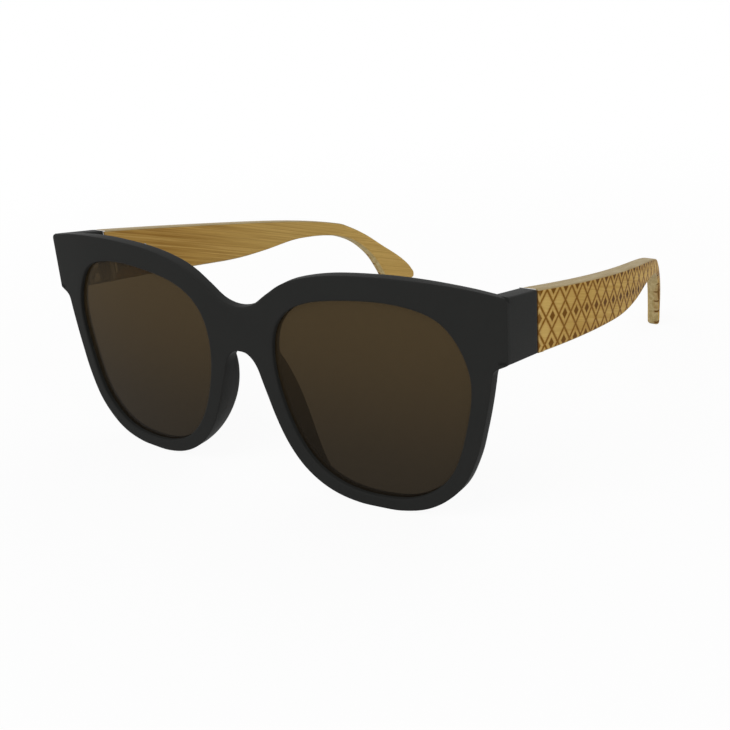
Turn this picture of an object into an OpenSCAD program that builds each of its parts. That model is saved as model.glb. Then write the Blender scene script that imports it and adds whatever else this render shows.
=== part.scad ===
// Sunglasses with a moulded plastic front, tinted lenses and bowed bamboo temples on sprung hinges.
// +X is to the right of a person who faces the lenses, +Y runs back along the temples, +Z is up.
// The sunglasses stand open on a table: the rims and the tips of both temples touch z = 0.
// Sizes are worked out in a frame whose y = 0 is the foremost point of the front.

/* [Front] */
// Width of the front across its top corners
front_w = 146; // [140:1:152]
// Height of the brow above the table
front_h = 60.6; // [59:0.2:63]
// Thickness of the front, from face to back
front_t = 3.5; // [3.3:0.1:4.2]
// Radius of the front's wrap, seen from above
wrap_r = 390; // [300:10:600]
// Depth of the saddle over the bridge, below the brow
saddle = 12.2; // [11:0.2:14]
// Height of the bridge between its saddle and the crown of the nose arch
bridge_h = 12.1; // [10:0.1:13]
// How much lower than the brow the top corners are
corner_drop = 2.2; // [1.6:0.1:3.4]
// Length of an end piece from the corner to the seam
end_len = 15.1; // [14.5:0.1:17]
// Angle at which the tops of the end pieces run down to the seam
end_slope = 10.9; // [9.5:0.1:12.5]
// Radius that rounds the top corners
corner_r = 1.5; // [0.8:0.1:2]
// Radius that fills the inside of the turn into the end piece
turn_r = 2.4; // [1.5:0.1:3]
// How much is taken off under the rims so that they stand flat
stand_flat = 0.15; // [0.1:0.05:0.25]

/* [Rims and lenses] */
// Width of a lens opening
lens_w = 53.4; // [51:0.2:55]
// Height of a lens opening
lens_h = 51.4; // [49:0.2:53]
// Distance between the two lens openings
lens_gap = 21.2; // [19:0.2:23]
// Width of the rim under a lens
rim_bottom = 3.2; // [2.6:0.1:4]
// Width of the rim on the temple side
rim_side = 4; // [3.2:0.1:5]
// Width of the rim on the nose side
rim_nose = 4.2; // [3.4:0.1:4.6]
// Thickness of a lens
lens_t = 1.5; // [1.3:0.1:1.7]
// How far a lens lies behind the face of the front
lens_depth = 1.2; // [1:0.1:1.4]
// Depth of the groove that holds a lens
groove = 0.7; // [0.5:0.1:1]
// Gap between a lens and its groove
lens_fit = 0.03; // [0.02:0.01:0.05]

/* [Nose pads] */
// How far the nose pads reach behind the face of the front
pad_reach = 9.8; // [9:0.1:10.4]
// Angle at which the nose pads spread towards the back
pad_spread = 8; // [5:1:15]
// Radius of a nose pad's rounded side
pad_r = 30; // [26:0.5:34]
// Height of the middle of a nose pad above the table
pad_z = 20.5; // [19.5:0.5:22]

/* [Temples] */
// Length of a temple from the seam to its tip, measured level
temple_len = 138.4; // [132:0.2:144]
// Height of a temple at its root
root_h = 15.8; // [15:0.1:17]
// Thickness of a temple at its root
temple_t = 4.5; // [4.2:0.1:5.5]
// Thickness of a temple at its tip
tip_t = 4; // [3:0.1:4.2]
// Angle at which the temples run down from the front
temple_slope = 12.6; // [10.6:0.2:13]
// Radius of a temple's bow, seen from above
bow_r = 345; // [310:1:400]
// How far behind the seam a temple is widest
bow_lead = 20; // [10:1:30]

/* [Hinge] */
// Gap between the end of the front and the metal end plate
seam_gap = 0.1; // [0.05:0.01:0.2]
// Thickness of the metal end plate
plate_t = 0.8; // [0.6:0.1:1.2]
// How far the end plate is set in from the temple's outer side
plate_inset = 0.6; // [0.4:0.1:1]
// Height of the temple's top above the middle of the hinge, at the seam
hinge_drop = 10.3; // [9.4:0.1:10.4]
// Distance from the temple's inner side to the hinge screw's axis
pin_inset = 2.7; // [2.5:0.1:3]
// Distance from the seam forward to the hinge screw's axis
pin_lead = 1.9; // [1.8:0.1:2.2]
// Radius of the hinge screw
pin_r = 0.7; // [0.6:0.05:0.8]
// Radial clearance of the hinge screw in its knuckles
pin_fit = 0.04; // [0.02:0.01:0.06]
// Outer radius of a knuckle
knuckle_r = 1.5; // [1.4:0.05:1.6]
// Height of one knuckle
knuckle_h = 2.4; // [2:0.1:2.6]
// Gap between two knuckles
knuckle_gap = 0.06; // [0.04:0.01:0.12]
// Radius of the hinge screw's head
head_r = 1.2; // [1.1:0.05:1.35]
// Height of the hinge screw's head
head_h = 0.7; // [0.5:0.1:1]
// Thickness of the hinge leaf on the front
leaf_t = 1; // [0.8:0.1:1.2]
// Length of the hinge leaf along the end piece
leaf_len = 5; // [4.6:0.1:5.4]
// Distance from the leaf's upper and lower ends to its screws
leaf_inset = 1.7; // [1.5:0.1:2]
// Width of the slot in the hinge screw's head
slot_w = 0.3; // [0.2:0.05:0.4]

/* [Spring] */
// Length of the spring case in the temple
case_len = 11; // [10.5:0.5:13]
// Height of the spring case
case_h = 4.1; // [4:0.1:5]
// Radius of the bore in the spring case
case_bore_r = 1.4; // [1.35:0.05:1.5]
// Wall of the spring case on the inner side
case_wall = 0.6; // [0.5:0.1:0.8]
// How deep the spring case is let into the bamboo at the seam
case_sink = 1.4; // [1.2:0.1:1.8]
// Distance from the temple's inner side to the rod's axis
bore_inset = 1.2; // [1:0.1:1.4]
// Radius of the slider's rod
rod_r = 0.6; // [0.5:0.05:0.65]
// Clearance of the moving rod, and round the pieces let into the bamboo
slide_fit = 0.06; // [0.04:0.01:0.1]
// Diameter of the spring's wire
wire_d = 0.3; // [0.25:0.05:0.35]
// Radius of the spring at the middle of its wire
coil_r = 1; // [0.95:0.05:1.05]
// Height of the stop that holds the spring on the rod
stop_t = 1.2; // [1:0.1:1.6]
// Length of the foot that holds the spring case in the bamboo
foot_len = 5.4; // [5.2:0.1:6]
// Height of that foot
foot_h = 3.6; // [3:0.2:4]
// Thickness of that foot
foot_t = 1; // [0.8:0.1:1.2]
// Distance between the two screws in that foot
foot_pitch = 2.7; // [2.6:0.1:2.8]
// Gap behind the rod's end in the spring case
rod_room = 0.3; // [0.2:0.1:0.5]
// Gap at each end of the spring
spring_room = 0.05; // [0.03:0.01:0.1]
// Radius of a small screw's shank
screw_r = 0.55; // [0.45:0.05:0.6]
// Gap round a small screw in its hole
screw_fit = 0.02; // [0.02:0.01:0.04]
// Length of a small screw under its head
screw_len = 2.6; // [2:0.1:2.8]

/* [Hidden] */

// Colours of the materials
plastic_black = [0.13, 0.13, 0.13];
lens_brown = [0.3, 0.23, 0.16, 0.85];
bamboo = [0.79, 0.62, 0.36];
steel = [0.75, 0.75, 0.76];
spring_steel = [0.55, 0.56, 0.58];

// Steps of a curve between two of its points
steps = 6;
// Length that cutters and blanks run past what they cut
over = 1;
// Length by which a form runs into the one that it is joined to
lap = 0.2;
LEFT = -1;
RIGHT = 1;

// Points on a smooth curve from p[1] to the last point but one; the first and last only steer its ends
function catmull(a, b, c, d, t) =
    b + 0.5 * t * ((c - a) + t * ((2 * a - 5 * b + 4 * c - d) + t * (3 * b - 3 * c + d - a)));
function curve(p) = concat(
    [for (i = [1 : len(p) - 3]) for (k = [0 : steps - 1])
        catmull(p[i - 1], p[i], p[i + 1], p[i + 2], k / steps)],
    [p[len(p) - 2]]);
function loop(p) = [for (i = [0 : len(p) - 1]) for (k = [0 : steps - 1])
    catmull(p[(i + len(p) - 1) % len(p)], p[i], p[(i + 1) % len(p)], p[(i + 2) % len(p)], k / steps)];
function mirrored(p) = [for (i = [len(p) - 1 : -1 : 0]) [-p[i].x, p[i].y]];

// Outward normal of a clockwise loop at its point i
function outward(c, i) =
    let (d = c[(i + 1) % len(c)] - c[(i + len(c) - 1) % len(c)])
    [-d.y, d.x] / norm(d);
function widened(c, w) = [for (i = [0 : len(c) - 1]) c[i] + w * outward(c, i)];

// Lens opening on the right, seen from the front, as shares of half its width and height, clockwise
lens_shares = [
    [0.1, 1], [0.59, 0.94], [0.85, 0.745], [1, 0.36], [0.96, -0.11], [0.795, -0.635], [0.475, -0.925],
    [0.06, -1], [-0.35, -0.935], [-0.665, -0.715], [-0.89, -0.305], [-1, 0.24], [-0.91, 0.665], [-0.57, 0.91]
];
lens_x = (lens_gap + lens_w) / 2;
lens_z = rim_bottom + lens_h / 2 - stand_flat;
lens_points = [for (p = lens_shares) [lens_x + p.x * lens_w / 2, lens_z + p.y * lens_h / 2]];
lens_edge = loop(lens_points);

// Outer edge of the rim beside one point of the lens shape; the rim's width changes with its direction
function rim_width(n) = rim_bottom + ((n.x > 0 ? rim_side : rim_nose) - rim_bottom) * abs(n.x);
function rim_point(k) =
    let (n = outward(lens_edge, k * steps))
    lens_edge[k * steps] + rim_width(n) * n;

// Face of the front at a distance x from the middle
function face_y(x) = wrap_r - sqrt(wrap_r * wrap_r - x * x);
half_w = front_w / 2;
run = tan(temple_slope);
end_run = tan(end_slope);
corner_y = face_y(half_w);
seam_y = corner_y + end_len;
corner_top = front_h - corner_drop;
bridge_top = front_h - saddle;
arch_top = bridge_top - bridge_h;
root_top = corner_top - end_len * end_run;
end_bottom = corner_top - root_h;

// Right half of the front's outline: brow, top corner, then the end piece, rim and nose arch
function on_bridge(p) = [p.x * lens_gap, bridge_top + p.y * saddle];
function on_lens(p) = [lens_x + p.x * lens_w, bridge_top + p.y * saddle];
bridge_shares = [[-0.24, 0.09], [0, 0], [0.24, 0.09], [0.47, 0.365], [0.7, 0.623]];
brow_shares = [[-0.31, 0.807], [-0.14, 0.947], [0.085, 1], [0.31, 0.984], [0.5, 0.918]];
brow_end = on_lens(brow_shares[len(brow_shares) - 1]);
brow_tilt = atan((brow_end.y - corner_top) / (half_w - corner_r - brow_end.x));
brow = curve(concat(
    [for (p = bridge_shares) on_bridge(p)], [for (p = brow_shares) on_lens(p)],
    [[half_w - corner_r, corner_top], [half_w + corner_r, corner_top - lap]]));
corner = [for (a = [60 : -20 : 0])
    [half_w - corner_r + corner_r * cos(a), corner_top - corner_r + corner_r * sin(a)]];
rim_out = lens_x + lens_w / 2 + rim_side;
function under_end(p) = [rim_out + p.x * (half_w - rim_out), end_bottom - p.y * root_h];
function on_arch(p) = [p.x * lens_gap, arch_top - p.y * rim_nose];
under_shares = [[1, -0.08], [1, -0.02], [0.92, 0.035], [0.52, 0.118], [0.34, 0.16], [0.26, 0.22],
    [0.18, 0.386], [0.02, 0.703]];
arch_shares = [[0.323, 2.095], [0.23, 0.769], [0.12, 0.136], [0, 0], [-0.12, 0.136]];
lower = curve(concat(
    [for (p = under_shares) under_end(p)],
    [for (k = [4 : 0.5 : 10]) rim_point(k)],
    [for (p = arch_shares) on_arch(p)]));
front_half = concat(brow, corner, lower);
front_edge = concat(front_half, [for (p = mirrored(front_half)) if (abs(p.x) > 0.01) p]);

// Nose pad's section on the right, between the rim's nose side and the lens groove
pad_from = 8 * steps;
pad_to = 11 * steps + 3;
pad_edge = concat(
    [for (i = [pad_from : pad_to])
        let (n = outward(lens_edge, i)) lens_edge[i] + rim_width(n) * n],
    [for (i = [pad_to : -1 : pad_from]) lens_edge[i] + (groove + 2 * lap) * outward(lens_edge, i)]);

// Side view of a temple: y behind the seam and height, from the root's top round the tip to its underside.
// The top follows a straight line and then drops by a share of the height left above the table.
function line_z(u) = root_top - u * run;
function dropped(p) = [p.x * temple_len, line_z(p.x * temple_len) * (1 - p.y)];
function hung(p) = [p.x * temple_len, line_z(p.x * temple_len) - p.y * root_h];
temple_top_shares = [[-0.2, 0], [0, 0], [0.3, 0], [0.59, 0], [0.742, 0.033], [0.793, 0.085], [0.848, 0.2],
    [0.902, 0.375], [0.95, 0.55], [0.98, 0.7], [0.993, 0.8]];
temple_end_shares = [[1, 0.88], [0.993, 0.955], [0.96, 1], [0.93, 0.958]];
hook_shares = [[0.912, 0.87], [0.893, 0.735], [0.862, 0.49], [0.816, 0.3], [0.765, 0.205], [0.712, 0.172]];
blade_shares = [[0.651, 0.385], [0.595, 0.45], [0.54, 0.58], [0.459, 0.755], [0.27, 0.87], [0, 1],
    [-0.2, 1.1]];
temple_side = curve(concat(
    [for (p = concat(temple_top_shares, temple_end_shares, hook_shares)) dropped(p)],
    [for (p = blade_shares) hung(p)]));

// Bow of a temple, seen from above: two round faces that draw together towards the tip
inner_x = half_w - temple_t;
bow_out_r = 1 / (1 / bow_r + 2 * (temple_t - tip_t) / (pow(temple_len - bow_lead, 2) - pow(bow_lead, 2)));
function bow_x(x, r) = x - sqrt(r * r - bow_lead * bow_lead);

// Hinge places on the right
pin_x = inner_x - pin_inset;
pin_y = seam_y - pin_lead;
hinge_z = root_top - hinge_drop;
stack_h = 3 * knuckle_h + 2 * knuckle_gap;
upper_z = hinge_z + knuckle_h / 2 + knuckle_gap;
lower_z = hinge_z - 1.5 * knuckle_h - knuckle_gap;
leaf_y = pin_y - knuckle_r - leaf_len;
leaf_screw_y = leaf_y + leaf_len / 2;
leaf_screw_z = stack_h / 2 - leaf_inset;

// Spring case places on the right
wood_y = seam_y + plate_t;
bore_x = inner_x - bore_inset;
case_in = bore_x - case_bore_r - case_wall;
case_out = inner_x + case_sink;
case_end = wood_y + case_len;
bore_end = case_end - case_wall;
foot_screws = [for (k = [-0.5, 0.5]) case_end + foot_len / 2 + k * foot_pitch];
screw_head_r = 2 * screw_r;
screw_head_h = screw_r;
stop_y = bore_end - rod_room - stop_t;
spring_from = wood_y + spring_room;
spring_len = stop_y - spring_room - spring_from;

// Whole depth; the finished part stands on the middle of its own footprint
depth = seam_y + temple_len;

module centred() translate([0, -depth / 2, 0]) children();

// The right side as it is, or its mirror image on the left
module on_side(side) {
    if (side == LEFT) mirror([1, 0, 0]) children();
    else children();
}

// A front view drawn in x and z, made solid from y = a to y = b
module through_y(points, a, b) translate([0, b, 0]) rotate([90, 0, 0]) linear_extrude(b - a) polygon(points);

// A side view drawn in y and z, made solid from x = a to x = b
module through_x(points, a, b)
    translate([a, 0, 0]) rotate([90, 0, 90]) linear_extrude(b - a) polygon(points);

// Layer of the curved front between two depths behind its face
module wrap_layer(a, b) translate([0, wrap_r, -over]) difference() {
    cylinder(r = wrap_r - a, h = front_h + 2 * over, $fn = 720);
    translate([0, 0, -over]) cylinder(r = wrap_r - b, h = front_h + 4 * over, $fn = 720);
}

// Rod along +X or +Y from a point
module rod_x(p, r, h) translate(p) rotate([0, 90, 0]) cylinder(r = r, h = h, $fn = 48);
module rod_y(p, r, h) translate(p) rotate([-90, 0, 0]) cylinder(r = r, h = h, $fn = 48);

// End piece: the wall that turns back from the front's corner to the seam
module end_piece() {
    front = corner_y + over;
    back = seam_y - seam_gap;
    turn_y = face_y(inner_x) + front_t - lap;
    through_x([
        [front, corner_top - over * end_run], [back, corner_top - (back - corner_y) * end_run],
        [back, end_bottom - (back - corner_y) * end_run], [front, end_bottom - over * end_run]
    ], inner_x, half_w);
    // Filling inside the turn
    difference() {
        translate([inner_x - turn_r, turn_y, end_bottom - over])
            cube([turn_r + lap, turn_r, root_h - over]);
        translate([inner_x - turn_r, turn_y + turn_r, end_bottom - 2 * over])
            cylinder(r = turn_r - lap, h = root_h + over, $fn = 64);
    }
}

// What is cut off the brow's back so that its top runs on into the sloped top of the end piece
module brow_slope() translate([half_w - corner_r, 0, corner_top]) rotate([0, brow_tilt, 0]) through_x([
    [-over, (corner_y + over) * end_run], [seam_y, (corner_y - seam_y) * end_run],
    [seam_y, front_h], [-over, front_h]
], corner_r - half_w, front_h);

// Nose pad on the back of the rim and clear of the lens, turned so that it spreads towards the back
module nose_pad() intersection() {
    wrap_layer(lens_depth + lens_t + lens_fit, 2 * pad_reach);
    translate([lens_gap / 2, front_t, 0]) rotate([0, 0, -pad_spread])
        translate([-lens_gap / 2, -front_t, 0]) {
            intersection() {
                through_y(pad_edge, 0, pad_reach + over);
                rod_x([0, pad_reach - pad_r, pad_z], pad_r, half_w);
            }
        }
}

// Groove round a lens opening
module lens_groove() intersection() {
    wrap_layer(lens_depth - lens_fit, lens_depth + lens_t + lens_fit);
    through_y(widened(lens_edge, groove), -over, seam_y);
}

// Screw holes for the hinge leaf, drilled into the end piece from inside
module leaf_holes() for (z = [-leaf_screw_z, leaf_screw_z])
    rod_x([inner_x - over, leaf_screw_y, hinge_z + z], screw_r + screw_fit, screw_len + over);

module front_frame() color(plastic_black) centred() difference() {
    union() {
        difference() {
            intersection() {
                wrap_layer(0, front_t);
                through_y(front_edge, -over, seam_y);
            }
            for (side = [LEFT, RIGHT]) on_side(side) {
                brow_slope();
                through_y(lens_edge, -over, seam_y);
            }
        }
        for (side = [LEFT, RIGHT]) on_side(side) {
            end_piece();
            nose_pad();
        }
    }
    for (side = [LEFT, RIGHT]) on_side(side) {
        lens_groove();
        leaf_holes();
    }
    // Flat under each rim, where the front stands
    translate([-front_w, -over, -2 * over]) cube([2 * front_w, seam_y, 2 * over]);
}

module lens(side) color(lens_brown) centred() on_side(side) intersection() {
    wrap_layer(lens_depth, lens_depth + lens_t);
    through_y(widened(lens_edge, groove - lens_fit), -over, seam_y);
}

// Space let into the bamboo for the spring case, its foot and screws
module case_space(fit) {
    translate([case_in - over, wood_y - over, hinge_z - case_h / 2 - fit])
        cube([case_out + fit - case_in + over, case_len + fit + over, case_h + 2 * fit]);
    translate([inner_x - over, case_end - over, hinge_z - foot_h / 2 - fit])
        cube([case_out + fit - inner_x + over, foot_len + fit + over, foot_h + 2 * fit]);
    for (y = foot_screws) rod_x([case_out - over, y, hinge_z], screw_r + screw_fit, screw_len + over);
}

// Bamboo temple: its side view cut from a bowed board
module temple(side) color(bamboo) centred() on_side(side) difference() {
    intersection() {
        translate([0, seam_y, 0]) through_x(temple_side, 0, front_w);
        translate([0, wood_y, -over]) cube([front_w, temple_len + over, front_h + over]);
        translate([bow_x(half_w, bow_out_r), seam_y + bow_lead, -over])
            cylinder(r = bow_out_r, h = front_h + 2 * over, $fn = 720);
    }
    translate([bow_x(inner_x, bow_r), seam_y + bow_lead, -2 * over])
        cylinder(r = bow_r, h = front_h + 4 * over, $fn = 720);
    case_space(slide_fit);
}

// Metal end plate: closes the temple's root and the mouth of the spring case
module end_plate(side) color(steel) centred() on_side(side) difference() {
    union() {
        through_x([
            [seam_y, root_top], [wood_y, root_top - plate_t * run],
            [wood_y, root_top - root_h - plate_t * run], [seam_y, root_top - root_h]
        ], inner_x, half_w - plate_inset);
        translate([case_in, seam_y, hinge_z - case_h / 2]) cube([inner_x - case_in + lap, plate_t, case_h]);
    }
    rod_y([bore_x, seam_y - over, hinge_z], rod_r + slide_fit, plate_t + 2 * over);
}

module spring_case(side) color(steel) centred() on_side(side) difference() {
    union() {
        translate([case_in, wood_y, hinge_z - case_h / 2]) cube([case_out - case_in, case_len, case_h]);
        translate([case_out - foot_t, case_end - over, hinge_z - foot_h / 2])
            cube([foot_t, foot_len + over, foot_h]);
    }
    rod_y([bore_x, wood_y - over, hinge_z], case_bore_r, bore_end - wood_y + over);
    for (y = foot_screws)
        rod_x([case_out - foot_t - over, y, hinge_z], screw_r + screw_fit, foot_t + 2 * over);
}

// Small screw along +X with a low head, whose seat is at x = 0
module small_screw() {
    rod_x([-screw_head_h, 0, 0], screw_head_r, screw_head_h);
    rod_x([-lap, 0, 0], screw_r, screw_len - screw_fit + lap);
}

module case_screws(side) color(steel) centred() on_side(side) for (y = foot_screws)
    translate([case_out - foot_t, y, hinge_z]) small_screw();

// Hinge leaf on the end piece, with the two outer knuckles
module hinge_leaf(side) color(steel) centred() on_side(side) difference() {
    union() {
        translate([inner_x - leaf_t, leaf_y, hinge_z - stack_h / 2]) cube([leaf_t, leaf_len + lap, stack_h]);
        for (z = [lower_z, upper_z]) {
            translate([pin_x, pin_y, z]) cylinder(r = knuckle_r, h = knuckle_h, $fn = 64);
            translate([pin_x, pin_y - knuckle_r, z]) cube([inner_x - pin_x, 2 * knuckle_r - lap, knuckle_h]);
        }
    }
    translate([pin_x, pin_y, lower_z - over]) cylinder(r = pin_r + pin_fit, h = stack_h + 2 * over, $fn = 64);
    for (z = [-leaf_screw_z, leaf_screw_z])
        rod_x([inner_x - leaf_t - over, leaf_screw_y, hinge_z + z], screw_r + screw_fit, leaf_t + 2 * over);
}

module leaf_screws(side) color(steel) centred() on_side(side) for (z = [-leaf_screw_z, leaf_screw_z])
    translate([inner_x - leaf_t, leaf_screw_y, hinge_z + z]) small_screw();

module hinge_screw(side) color(steel) centred() on_side(side) {
    translate([pin_x, pin_y, lower_z]) cylinder(r = pin_r, h = stack_h + lap, $fn = 64);
    translate([pin_x, pin_y, lower_z + stack_h + pin_fit]) difference() {
        cylinder(r = head_r, h = head_h, $fn = 64);
        translate([-head_r - over, -slot_w / 2, head_h / 2]) cube([2 * (head_r + over), slot_w, head_h]);
    }
}

// Slider: the middle knuckle with the rod that the spring draws into the case
module slider(side) color(steel) centred() on_side(side) difference() {
    union() {
        translate([pin_x, pin_y, hinge_z - knuckle_h / 2]) cylinder(r = knuckle_r, h = knuckle_h, $fn = 64);
        translate([pin_x, pin_y, hinge_z - knuckle_h / 2])
            cube([bore_x + rod_r - pin_x, pin_lead - seam_gap, knuckle_h]);
        rod_y([bore_x, pin_y + pin_lead / 2, hinge_z], rod_r, stop_y + stop_t - pin_y - pin_lead / 2);
    }
    translate([pin_x, pin_y, hinge_z - knuckle_h])
        cylinder(r = pin_r + pin_fit, h = 2 * knuckle_h, $fn = 64);
}

module spring_stop(side) color(steel) centred() on_side(side) difference() {
    rod_y([bore_x, stop_y, hinge_z], case_bore_r - slide_fit, stop_t);
    rod_y([bore_x, stop_y - over, hinge_z], rod_r + screw_fit, stop_t + 2 * over);
}

// Spring in the case: a plain sleeve where its coils lie
module spring(side) color(spring_steel) centred() on_side(side) difference() {
    rod_y([bore_x, spring_from, hinge_z], coil_r + wire_d / 2, spring_len);
    rod_y([bore_x, spring_from - over, hinge_z], coil_r - wire_d / 2, spring_len + 2 * over);
}

front_frame();
lens(LEFT);  // lens_left
lens(RIGHT);  // lens_right
temple(LEFT);  // temple_left
end_plate(LEFT);  // end_plate_left
spring_case(LEFT);  // spring_case_left
slider(LEFT);  // slider_left
spring(LEFT);  // spring_left
spring_stop(LEFT);  // spring_stop_left
case_screws(LEFT);  // case_screws_left
hinge_leaf(LEFT);  // hinge_leaf_left
leaf_screws(LEFT);  // leaf_screws_left
hinge_screw(LEFT);  // hinge_screw_left
temple(RIGHT);  // temple_right
end_plate(RIGHT);  // end_plate_right
spring_case(RIGHT);  // spring_case_right
slider(RIGHT);  // slider_right
spring(RIGHT);  // spring_right
spring_stop(RIGHT);  // spring_stop_right
case_screws(RIGHT);  // case_screws_right
hinge_leaf(RIGHT);  // hinge_leaf_right
leaf_screws(RIGHT);  // leaf_screws_right
hinge_screw(RIGHT);  // hinge_screw_right
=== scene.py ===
"""Looks of the sunglasses: a moulded black front, brown lenses, bamboo temples with a burnt lattice, steel hinges.

Shapes are worked out in millimetres with y = 0 at the foremost point of the front, and are put into the meshes in
metres in the frame of the part. Right is the side of positive x, and each left piece is the mirror image of the
right one. A skin is a pair: points, and a list of arrays of faces.
"""
import math

import bmesh
import bpy
import numpy as np
from mathutils import Matrix, Vector


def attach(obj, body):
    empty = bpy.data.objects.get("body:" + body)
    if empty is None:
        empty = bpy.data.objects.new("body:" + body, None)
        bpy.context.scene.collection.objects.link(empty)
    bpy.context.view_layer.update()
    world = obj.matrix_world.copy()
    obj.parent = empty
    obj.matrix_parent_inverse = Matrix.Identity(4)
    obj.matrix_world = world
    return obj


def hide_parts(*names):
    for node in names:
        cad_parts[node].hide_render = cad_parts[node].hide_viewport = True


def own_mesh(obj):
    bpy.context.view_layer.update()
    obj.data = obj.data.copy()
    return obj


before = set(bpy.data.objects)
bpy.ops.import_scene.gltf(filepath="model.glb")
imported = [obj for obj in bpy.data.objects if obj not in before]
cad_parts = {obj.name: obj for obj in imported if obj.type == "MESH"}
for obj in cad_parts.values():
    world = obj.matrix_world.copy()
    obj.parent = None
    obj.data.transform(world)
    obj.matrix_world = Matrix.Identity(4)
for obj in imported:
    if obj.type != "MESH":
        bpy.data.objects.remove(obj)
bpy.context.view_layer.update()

MM = 0.001

# Sizes of the part in millimetres and degrees, as in its source
FRONT_W, FRONT_H, FRONT_T, WRAP_R = 146.0, 60.6, 3.5, 390.0
SADDLE, BRIDGE_H, CORNER_DROP, CORNER_R, TURN_R = 12.2, 12.1, 2.2, 1.5, 2.4
END_LEN, END_SLOPE = 15.1, 10.9
LENS_W, LENS_H, LENS_GAP = 53.4, 51.4, 21.2
RIM_BOTTOM, RIM_SIDE, RIM_NOSE = 3.2, 4.0, 4.2
LENS_T, LENS_DEPTH, GROOVE = 1.5, 1.2, 0.7
PAD_REACH, PAD_SPREAD, PAD_R, PAD_Z = 9.8, 8.0, 30.0, 20.5
TEMPLE_LEN, ROOT_H, TEMPLE_T, TIP_T = 138.4, 15.8, 4.5, 4.0
TEMPLE_SLOPE, BOW_R, BOW_LEAD = 12.6, 345.0, 20.0
SEAM_GAP, PLATE_T, STAND_FLAT = 0.1, 0.8, 0.15
HINGE_DROP, CASE_LEN, CASE_H, CASE_PROUD, CASE_SINK = 10.3, 11.0, 4.1, 3.2, 1.4
FOOT_LEN, FOOT_H, FOOT_T = 5.4, 3.6, 1.0
BORE_INSET, SPRING_ROOM, SPRING_LEN, COIL_R, WIRE_D, SLIDE_RUN = 1.2, 0.05, 8.8, 1.0, 0.3, 1.07

# Places that follow from the sizes
HALF_W = FRONT_W / 2
RUN = math.tan(math.radians(TEMPLE_SLOPE))
END_RUN = math.tan(math.radians(END_SLOPE))
CORNER_Y = WRAP_R - math.sqrt(WRAP_R ** 2 - HALF_W ** 2)
SEAM_Y = CORNER_Y + END_LEN
DEPTH = SEAM_Y + TEMPLE_LEN
CORNER_TOP = FRONT_H - CORNER_DROP
BRIDGE_TOP = FRONT_H - SADDLE
ARCH_TOP = BRIDGE_TOP - BRIDGE_H
END_BOTTOM = CORNER_TOP - ROOT_H
ROOT_TOP = CORNER_TOP - END_LEN * END_RUN
LENS_X = (LENS_GAP + LENS_W) / 2
LENS_Z = RIM_BOTTOM - STAND_FLAT + LENS_H / 2
RIM_OUT = LENS_X + LENS_W / 2 + RIM_SIDE
INNER_X = HALF_W - TEMPLE_T
WOOD_Y = SEAM_Y + PLATE_T
HINGE_Z = ROOT_TOP - HINGE_DROP

# Points of the outlines as shares of the sizes; some follow the photo more closely than the source does
LENS_SHARES = np.array([
    [0.1, 1], [0.59, 0.94], [0.85, 0.745], [1, 0.36], [0.96, -0.11], [0.795, -0.635], [0.475, -0.925],
    [0.06, -1], [-0.35, -0.935], [-0.665, -0.715], [-0.89, -0.305], [-1, 0.24], [-0.91, 0.665], [-0.57, 0.91]])
BRIDGE_SHARES = np.array([[-0.24, 0.09], [0, 0], [0.24, 0.09], [0.47, 0.365], [0.7, 0.623]])
BROW_SHARES = np.array([[-0.31, 0.807], [-0.14, 0.947], [0.085, 1], [0.31, 0.984], [0.5, 0.918]])
UNDER_SHARES = np.array([
    [1, -0.06], [1, 0.0], [0.92, 0.03], [0.52, 0.095], [0.35, 0.14], [0.26, 0.21], [0.18, 0.386],
    [0.02, 0.703]])
ARCH_SHARES = np.array([[0.323, 2.095], [0.23, 0.769], [0.12, 0.136], [0, 0], [-0.12, 0.136]])
TEMPLE_TOP = np.array([
    [-0.2, 0], [0, 0], [0.3, 0], [0.59, 0], [0.742, 0.033], [0.793, 0.085], [0.848, 0.2], [0.902, 0.375],
    [0.95, 0.55], [0.98, 0.7], [0.993, 0.8], [1, 0.88], [0.993, 0.955], [0.955, 1], [0.921, 1],
    [0.9095, 0.925], [0.893, 0.735], [0.862, 0.49], [0.816, 0.3], [0.765, 0.205], [0.712, 0.172]])
TEMPLE_BLADE = np.array([
    [0.651, 0.385], [0.595, 0.45], [0.5, 0.645], [0.4, 0.79], [0.27, 0.87], [0, 1], [-0.2, 1.1]])

# Curves and skins

QUARTER = np.radians(np.linspace(0, 90, 5))
MERGE_DISTANCE = 2e-7


def curve(points, t):
    """Smooth curve through points: on each stretch the cubic whose slope at a point is half the step between that
    point's neighbours; t counts the points, and the first and last only steer."""
    i = np.clip(np.floor(t).astype(int), 1, len(points) - 3)
    f = (t - i)[:, None]
    a, b, c, d = points[i - 1], points[i], points[i + 1], points[i + 2]
    return b + 0.5 * f * ((c - a) + f * ((2 * a - 5 * b + 4 * c - d) + f * (3 * b - 3 * c + d - a)))


def closed_curve(points, t):
    """The same cubic round a closed row of points, with t taken round the row."""
    padded = np.concatenate([points[-1:], points, points[:2]])
    return curve(padded, np.mod(t, len(points)) + 1)


def between(values, t):
    """Straight lines between values that t counts from 1."""
    return np.interp(t, np.arange(1, len(values) + 1), values)


def left_of(d):
    """Unit normals to the left of the directions d, which is outwards on a clockwise line."""
    n = np.stack([-d[:, 1], d[:, 0]], 1)
    return n / np.linalg.norm(n, axis=1, keepdims=True)


def ease(x, low, high):
    """Smooth step: 0 below low, 1 above high and 3 s^2 - 2 s^3 between."""
    s = np.clip((x - low) / (high - low), 0, 1)
    return s * s * (3 - 2 * s)


LENS_POINTS = np.array([LENS_X, LENS_Z]) + LENS_SHARES * np.array([LENS_W / 2, LENS_H / 2])


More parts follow.
